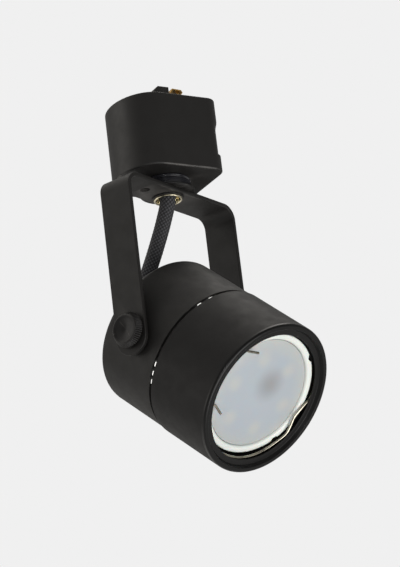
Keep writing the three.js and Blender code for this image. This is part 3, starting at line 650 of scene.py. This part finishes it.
# ---- thumb screws ----
def build_thumb_screw(side, space):
    low, high = extent(f"thumb_screw_{side}", space)
    washer_low, washer_high = extent(f"thumb_washer_{side}", space)
    base, top = washer_high.z + 0.05, high.z
    r, skirt, teeth, shank, pitch = (KNOB[key] for key in ("radius", "face", "teeth", "shank", "pitch"))

    def knurl(radius, height, angle):
        if radius < skirt or height < base or height > top:
            return 0
        wave = 0.5 + 0.5 * math.cos(teeth * angle)
        return -KNOB["tooth"] * (1 - wave ** 0.6) * smoothstep(radius, skirt, skirt + 0.3)

    profile = [
        (0, top - 1.3), (0.8, top - 1.28), (1.3, top - 1.1), (2.6, top - 0.82), (4.0, top - 0.52),
        (4.7, top - 0.36), (5.0, top - 0.1), (5.3, top), (5.6, top - 0.05), (5.85, top - 0.25),
        (6.1, top - 0.5), (r - 0.2, base + 1.0), (r, base + 0.6), (r, base + 0.4), (r - 0.3, base + 0.1),
        (r - 0.7, base), (shank, base), (shank, base - 0.4),
    ]
    z = base - 0.4
    while z - pitch > low.z + 0.4:
        profile += [(shank - 0.22, z - pitch / 2), (shank, z - pitch)]
        z -= pitch
    profile += [(shank - 0.3, low.z), (0, low.z)]
    knob = lathe(f"thumb_knob_{side}", profile, space, teeth * 8, ripple=knurl)
    add(knob, f"{side}_screw", BLACK_STEEL, space, [f"thumb_screw_{side}"], 40)
    profile = washer_profile(shank + FIT, washer_low, washer_high, 0.2)
    washer = lathe(f"thumb_washer_ring_{side}", profile, space, 96, wrap=True)
    add(washer, f"{side}_washer", BLACK_STEEL, space, [f"thumb_washer_{side}"])


# ---- cable ----
def catmull(points, steps):
    """A smooth curve through the points: centripetal Catmull-Rom, evenly stepped on each stretch."""
    points = [Vector(p) for p in points]
    points = [2 * points[0] - points[1], *points, 2 * points[-1] - points[-2]]
    curve = []
    for a, b, c, d in zip(points, points[1:], points[2:], points[3:]):
        ab, bc, cd = [max((q - p).length, 1e-6) ** 0.5 for p, q in ((a, b), (b, c), (c, d))]
        leave = ((b - a) / ab - (c - a) / (ab + bc) + (c - b) / bc) * bc
        arrive = ((c - b) / bc - (d - b) / (bc + cd) + (d - c) / cd) * bc
        for k in range(steps):
            t = k / steps
            curve.append((2 * t**3 - 3 * t**2 + 1) * b + (t**3 - 2 * t**2 + t) * leave
                         + (3 * t**2 - 2 * t**3) * c + (t**3 - t**2) * arrive)
    curve.append(points[-2])
    return curve


def even(curve, spacing):
    """The same curve in equal steps."""
    lengths = np.cumsum([0] + [(b - a).length for a, b in zip(curve, curve[1:])])
    targets = np.linspace(0, lengths[-1], max(2, int(lengths[-1] / spacing)))
    columns = [np.interp(targets, lengths, [p[k] for p in curve]) for k in range(3)]
    return [Vector(p) for p in zip(*columns)], targets


def cable_path():
    mouth = extent("lower_washer", YOKE)[0].z

    def behind(distance):
        return YOKE.inverted() @ (HEAD @ Vector((0, 0, -distance)))

    return [(0, 0, mouth + 14), (0, 0, mouth + 7), (0, 0.1, mouth), (0, 3.4, 54), (0, 9.4, 43), (0, 16.6, 31),
            (0, 19.8, 23.4), behind(22.4), behind(17), behind(13)]


def build_cable():
    radius, strands, around = CABLE["radius"], CABLE["strands"], 96
    points, lengths = even(catmull(cable_path(), 24), 0.2)
    pitch = 2 * math.pi * radius / strands
    rings, painted_yarn_light = [], []
    for i, (point, length) in enumerate(zip(points, lengths)):
        along = (points[min(i + 1, len(points) - 1)] - points[max(i - 1, 0)]).normalized()
        side = Vector((1, 0, 0))
        other = along.cross(side)
        ring = []
        for k in range(around):
            a = 2 * math.pi * k / around
            height, tone = weave(strands * a / (2 * math.pi), length / pitch)
            r = radius + CABLE["relief"] * height
            ring.append(point + side * (r * math.cos(a)) + other * (r * math.sin(a)))
            # each point's tone is painted light from the weave
            painted_yarn_light.append(tone)
        rings.append(ring)
    cable = loft("braided_cable", rings, YOKE)
    attribute = cable.data.attributes.new("painted_yarn_light", "FLOAT", "POINT")
    attribute.data.foreach_set("value", np.array(painted_yarn_light, np.float32))
    add(cable, None, BRAID, YOKE, ["power_cable"], 180)
    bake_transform(cable)


def weave(u, v):
    """Height and tone of a plain braid: strands cross at p and q, and take turns on top; the tone is painted
    light, pale on the crowns and dark in the gaps.
    """
    p, q = (u + v) / 2, (u - v) / 2
    cell = (math.floor(p * 2) + math.floor(q * 2)) % 2
    across, along = (p * 2 % 1, q * 2 % 1) if cell else (q * 2 % 1, p * 2 % 1)
    crown = math.sin(math.pi * across) ** 0.6
    rise = 0.35 + 0.65 * math.sin(math.pi * along)
    rib = 0.5 + 0.5 * math.cos(2 * math.pi * 3 * across)
    # the second value is painted light: brighter where a strand rises on top, darker in the gaps
    return crown * rise, crown * (0.35 + 0.45 * rise) * (0.75 + 0.25 * rib)


# ---- head ----
def build_rear_cup():
    low, high = extent("rear_cup", HEAD)
    r, back, seam, wall, hole = high.x, low.z, high.z, SHELL_WALL, CUP["cable_hole"]
    beside = [(r, z) for z in (-9.0, -6.0, -4.0, -2.6, -1.3, 0, 1.3, 2.6, 4.0, 7.0, 11.0)]
    flat = [(radius, back) for radius in (6, 9, 12, 15, 20, 24)]
    profile = rounded([
        (hole, back, 0.15), *flat, (r, back, CUP["fillet"]), *beside, (r, seam, 0.18), (r - wall, seam),
        (r - wall, back + wall, 1.4), (hole, back + wall, 0.15),
    ], 8)
    cup = lathe("rear_housing", profile, HEAD, 192, wrap=True)
    tools = [rod(KNOB["shank"] + FIT, -r - 2, r + 2, turned(HEAD, 90, "Y"))]
    for x in (-BRACKET_SCREW["x"], BRACKET_SCREW["x"]):
        tools.append(rod(BRACKET_SCREW["hole"], back - 1, back + wall + 1, shifted(HEAD, x)))
    add(combine(cup, tools), "head", PAINT, HEAD, ["rear_cup"], 30)


def ring_height():
    return extent("retaining_ring", HEAD)[0].z + RING["cad_wire"]


def build_front_barrel():
    low, high = extent("front_barrel", HEAD)
    r, seam, front, wall = high.x, low.z, high.z, SHELL_WALL
    bore, groove, half, ledge = (BARREL[key] for key in ("bore", "groove", "groove_half", "ledge"))
    ring_at = ring_height()
    seat, shelf = ring_at - BARREL["seat_below_ring"], front - 1.5
    profile = rounded([
        (r - wall, seam), (r, seam, 0.2), (r, front, 1.0), (29, front, 0.2), (28.2, shelf, 0.25),
        (bore, shelf, 0.2), (bore, ring_at + half, 0.1), (groove, ring_at + half), (groove, ring_at - half),
        (bore, ring_at - half, 0.1), (bore, seat, 0.1), (ledge, seat, 0.3), (ledge, seat - 1.2),
        (r - wall, seat - 2.8),
    ], 6)
    barrel = lathe("front_housing", profile, HEAD, 192, wrap=True)
    lug_top = extent("lamp_housing", HEAD)[1].z - 1.2
    lugs = [box((25.6, -1.1, seat - 0.5), (bore + 0.5, 1.1, lug_top), turned(HEAD, degrees))
            for degrees in (45, 135, 225, 315)]
    # the barrel's coat carries painted shade
    add(combine(barrel, lugs, "UNION"), "head", FRONT_PAINT_SHADED, HEAD, ["front_barrel"], 30)


def seam_middle():
    return (extent("rear_cup", HEAD)[1].z + extent("front_barrel", HEAD)[0].z) / 2


def vent_places():
    """The head's space turned to face each vent."""
    return [turned(HEAD, degrees + half_turn) for degrees in VENT_ANGLES for half_turn in (0, 180)]


def build_vent_sleeve():
    low, high = extent("vent_ring", HEAD)
    inner, middle = VENT["inner"], seam_middle()
    profile = rounded([(inner, low.z), (high.x, low.z, 0.2), (high.x, high.z, 0.2), (inner, high.z)], 3)
    sleeve = lathe("vent_sleeve", profile, HEAD, 192, wrap=True)
    side, up = VENT["half_width"], VENT["half_height"]
    corners = (26, -side, middle - up), (31, side, middle + up)
    vents = [box(*corners, place) for place in vent_places()]
    add(combine(sleeve, vents), "head", PAINT, HEAD, ["vent_ring"], 30)


def build_vent_lights():
    """A thin liner inside the sleeve with a glowing window standing in each vent; the glow is painted light, as
    the liner is no lamp.
    """
    middle = seam_middle()
    outer, inner, half = VENT["inner"] - 0.1, VENT["inner"] - 0.6, 2.5
    profile = rounded([(inner, middle - half), (outer, middle - half, 0.1), (outer, middle + half, 0.1),
                       (inner, middle + half)], 2)
    liner = lathe("vent_liner", profile, HEAD, 96, wrap=True)

    def window(inset):
        up, side = VENT["half_height"] - 0.05 - inset, VENT["half_width"] - 0.05 - inset
        corners = ((-middle - up, -side), (-middle + up, -side), (-middle + up, side), (-middle - up, side))
        return rounded([(x, y, 0.3) for x, y in corners], 3)

    outward = [turned(place, 90, "Y") for place in vent_places()]
    windows = [prism("window", window, 27.1, 30.1, place, 0.15, 2) for place in outward]
    add(combine(liner, windows, "UNION"), "head", VENT_PAINTED_GLOW, HEAD)


def build_head():
    build_rear_cup()
    build_front_barrel()
    build_vent_sleeve()
    build_vent_lights()


def build_retaining_ring():
    """A sprung wire ring: both ends turned in over the lens, and one inward kink on the other side."""
    ring_at, r, wire = ring_height(), RING["radius"], RING["wire"]

    def at(radius, degrees, rise=0.0):
        a = math.radians(degrees)
        return (radius * math.cos(a), radius * math.sin(a), ring_at + rise)

    points = [at(21.0, 131.5, 0.4), at(25.3, 143.0, 0.2), at(26.9, 145.5), at(r, 140)]
    points += [at(r, degrees) for degrees in range(131, 13, -9)]
    points += [at(26.9, 9), at(25.7, 6.2, 0.4), at(24.0, -1, 0.5), at(23.0, -11, 0.5), at(24.3, -20, 0.5)]
    points += [at(25.6, -27.5, 0.3), at(25.5, -36), at(25.3, -48), at(25.4, -63), at(25.7, -80)]
    points += [at(25.9, -94), at(26.3, -104), at(26.8, -118), at(r, -132), at(r, -146), at(26.9, -158.5)]
    points += [at(25.3, -161.5, 0.2), at(21.0, -149.6, 0.4)]
    curve, _ = even(catmull(points, 10), 0.5)
    rings = []
    for i, point in enumerate(curve):
        along = (curve[min(i + 1, len(curve) - 1)] - curve[max(i - 1, 0)]).normalized()
        side = along.cross(UP).normalized()
        other = side.cross(along)
        rings.append([point + side * x + other * y for x, y in circle(wire, 14)])
    first, last = [[curve[i] + (p - curve[i]) * 0.7 for p in rings[i]] for i in (0, -1)]
    clip = loft("wire_clip", [first, *rings, last], HEAD)
    add(clip, "head", SPRING_WIRE, HEAD, ["retaining_ring"])


def build_grommet():
    low, high = extent("cable_grommet", HEAD)
    flange, bore, neck = high.x, CABLE["radius"] + FIT, CUP["cable_hole"] - SLIP
    outside = extent("rear_cup", HEAD)[0].z - 0.1
    inside = outside + SHELL_WALL + 0.2
    profile = rounded([
        (bore, low.z, 0.3), (4.0, low.z, 0.3), (flange - 1, outside - 1.3, 0.6), (flange, outside, 0.3),
        (neck, outside), (neck, inside), (flange - 0.6, inside), (flange - 0.8, high.z, 0.3),
        (bore, high.z, 0.2),
    ], 4)
    relief = lathe("strain_relief", profile, HEAD, 96, wrap=True)
    add(relief, "head", RUBBER, HEAD, ["cable_grommet"])


def build_bracket_screws():
    seat = extent("rear_cup", HEAD)[0].z - 0.1
    head, shank, end = (BRACKET_SCREW[key] for key in ("head", "shank", "end"))
    profile = rounded([
        (0, seat - 1.9), (1.4, seat - 1.85, 0.8), (head - 0.1, seat - 0.9, 0.5), (head, seat), (shank, seat),
        (shank, end, 0.2), (0, end),
    ], 5, closed=False)
    for side, x in (("left", -BRACKET_SCREW["x"]), ("right", BRACKET_SCREW["x"])):
        place = shifted(HEAD, x)
        screw = lathe(f"cross_screw_{side}", profile, place, 64)
        slots = [box((-1.7, -0.28, seat - 3), (1.7, 0.28, seat - 0.9), place),
                 box((-0.28, -1.7, seat - 3), (0.28, 1.7, seat - 0.9), place)]
        add(combine(screw, slots), "head", STEEL, place, [f"bracket_screw_{side}"], 30)


# ---- lamp ----
def build_lamp_shell(step, window):
    high = extent("lamp_housing", HEAD)[1]
    rim, front, back = high.x, high.z, LAMP["back"]
    profile = rounded([
        (12, back), (14.4, back), (17.6, 18), (20.4, 27), (22.6, 35), (23.2, step, 0.3), (rim, step, 0.3),
        (rim, front, 0.5), (window, front, 1.2), (window, front - 3.4), (21.2, front - 4.4), (18.8, 27),
        (16, 18), (13.4, 13), (12, 13),
    ], 5)
    shell = lathe("lamp_shell", profile, HEAD, 160, wrap=True)
    notches = []
    for degrees in LAMP["notch_angles"]:
        place = shifted(turned(HEAD, degrees), LAMP["notch_at"])
        notches.append(rod(LAMP["notch"], step + 0.5, front + 1, place, 40))
    combine(shell, notches)
    settle(shell, step)
    add(shell, "lamp", WHITE, HEAD, ["lamp_housing"])


def build_lens(step, window):
    low, high = extent("lamp_diffuser", HEAD)
    edge, top, bottom, rise = window - 0.1, high.z, low.z, 0.9
    profile = [(edge * k / 24, top - rise * (k / 24) ** 3) for k in range(24)]
    profile += [(edge - 0.1, top - rise - 0.1), (edge, top - rise - 0.4), (edge, bottom)]
    profile += [(edge - 1.2, bottom), (edge - 1.4, top - rise - 1.0), (14, top - 1.6), (8, top - 1.3)]
    profile += [(0, top - 1.2)]
    lens = lathe("lamp_lens", profile, HEAD, 160)
    settle(lens, step)
    add(lens, "lamp", LENS, HEAD, ["lamp_diffuser"])


def build_lamp():
    high = extent("lamp_housing", HEAD)[1]
    step, window = high.z - LAMP["rim_thick"], high.x - LAMP["rim_width"]
    build_lamp_shell(step, window)
    build_lens(step, window)


def settle(piece, step):
    """The lamp's rim sits a little askew in its seat; the narrow part behind it stays straight."""
    inverse = HEAD.inverted()
    for vertex in piece.data.vertices:
        point = inverse @ vertex.co
        share = smoothstep(point.z, step - 12, step - 2)
        point.z += share * (LEAN["x"] * point.x + LEAN["y"] * point.y - LEAN["sunk"])
        point.y += share * LEAN["up"]
        vertex.co = HEAD @ point


# ---- floor, light and camera ----
CAMERA_PLACE = (-821.8, -628.9, -357.3)  # millimetres from the tilt centre, in the yoke's space
CAMERA = {"heading": 36.953, "pitch": 20.290, "roll": -6.916}  # degrees, in the yoke's space
CAMERA_LENS = 178.9
FLOOR_Z = -1.9  # metres
WARM = (1.0, 0.965, 0.91)
NEAR_WHITE = (1.0, 0.99, 0.98)
# Each light's place is metres to the camera's right, up and towards it, from the middle of the object.
LIGHTS = (
    ("top", (-0.3, 1.5, -0.9), (2.2, 1.0), 21.0, WARM),
    ("under", (-0.9, -1.2, -0.5), (1.6, 1.0), 5.0, WARM),
    ("left", (-1.6, 0.3, -0.2), (0.8, 1.6), 7.5, WARM),
    ("face", (0.7, -0.42, 0.65), (0.8, 0.8), 10.0, NEAR_WHITE),
    ("flash", (0.0, 0.06, 1.0), (0.05, 0.04), 1.5, (1.0, 1.0, 1.0)),
)


def build_camera():
    """Adds the camera and gives its right, up and ahead directions."""
    heading, pitch, roll = (math.radians(CAMERA[key]) for key in ("heading", "pitch", "roll"))
    level = Vector((math.sin(heading), -math.cos(heading), 0))
    ahead = UP.cross(level) * math.cos(pitch) + UP * math.sin(pitch)
    right = level * math.cos(roll) + level.cross(ahead) * math.sin(roll)
    turn = YOKE.to_3x3()
    ahead, right = (turn @ ahead).normalized(), (turn @ right).normalized()
    up = right.cross(ahead)
    data = bpy.data.cameras.new("camera")
    data.lens = CAMERA_LENS
    data.sensor_width = 36.0
    data.clip_start, data.clip_end = 0.05, 50.0
    camera = bpy.data.objects.new("camera", data)
    facing = Matrix((right, up, -ahead)).transposed().to_4x4()
    camera.matrix_world = Matrix.Translation(YOKE @ Vector(CAMERA_PLACE)) @ facing
    bpy.context.scene.collection.objects.link(camera)
    bpy.context.scene.camera = camera
    return right, up, ahead


def area_light(name, place, target, size, power, tint):
    data = bpy.data.lights.new(name, "AREA")
    data.shape = "RECTANGLE"
    data.size, data.size_y = size
    data.energy = power
    data.color = tint
    light = bpy.data.objects.new(name, data)
    light.location = place
    light.rotation_euler = (target - place).to_track_quat("-Z", "Y").to_euler()
    bpy.context.scene.collection.objects.link(light)


def build_world():
    """The camera sees a pale background; the object is lit by a softer, warmer one."""
    world = bpy.data.worlds.new("studio")
    bpy.context.scene.world = world
    world.use_nodes = True
    tree = world.node_tree
    tree.nodes.clear()
    seen = tree.nodes.new("ShaderNodeBackground")
    seen.inputs[0].default_value = colour(240, 240, 240)
    lit = tree.nodes.new("ShaderNodeBackground")
    lit.inputs[0].default_value = (1.0, 0.98, 0.95, 1)
    lit.inputs[1].default_value = 0.35
    path = tree.nodes.new("ShaderNodeLightPath")
    mix = tree.nodes.new("ShaderNodeMixShader")
    out = tree.nodes.new("ShaderNodeOutputWorld")
    tree.links.new(path.outputs["Is Camera Ray"], mix.inputs[0])
    tree.links.new(lit.outputs[0], mix.inputs[1])
    tree.links.new(seen.outputs[0], mix.inputs[2])
    tree.links.new(mix.outputs[0], out.inputs[0])


def build_floor():
    height, radius, thick = FLOOR_Z / MM, 9000, 20
    rings = [[(x, y, z) for x, y in circle(radius, 64)] for z in (height - thick, height)]
    floor = loft("floor", rings, ROW)
    g = Graph("floor")
    grain = g.noise(g.object_place(), 30.0, 4.0)
    pale = g.mix(grain, colour(224, 224, 223), colour(230, 230, 229))
    g.set(Base_Color=pale, Roughness=0.9, Emission_Color=pale, Emission_Strength=0.35)
    floor.data.materials.append(g.material)


def build_stage():
    right, up, ahead = build_camera()
    middle = Vector((0, 0, -0.075))
    for name, (to_right, to_up, nearer), size, power, tint in LIGHTS:
        place = middle + right * to_right + up * to_up - ahead * nearer
        area_light(name, place, middle, size, power, tint)
    build_world()
    build_floor()
    bpy.context.scene.view_settings.view_transform = "Standard"
    bpy.context.scene.view_settings.look = "None"


dress_cad_nodes()
build_adapter()
build_swivel()
build_yoke()
build_thumb_screw("left", LEFT)
build_thumb_screw("right", RIGHT)
build_cable()
build_head()
build_retaining_ring()
build_grommet()
build_bracket_screws()
build_lamp()
build_stage()
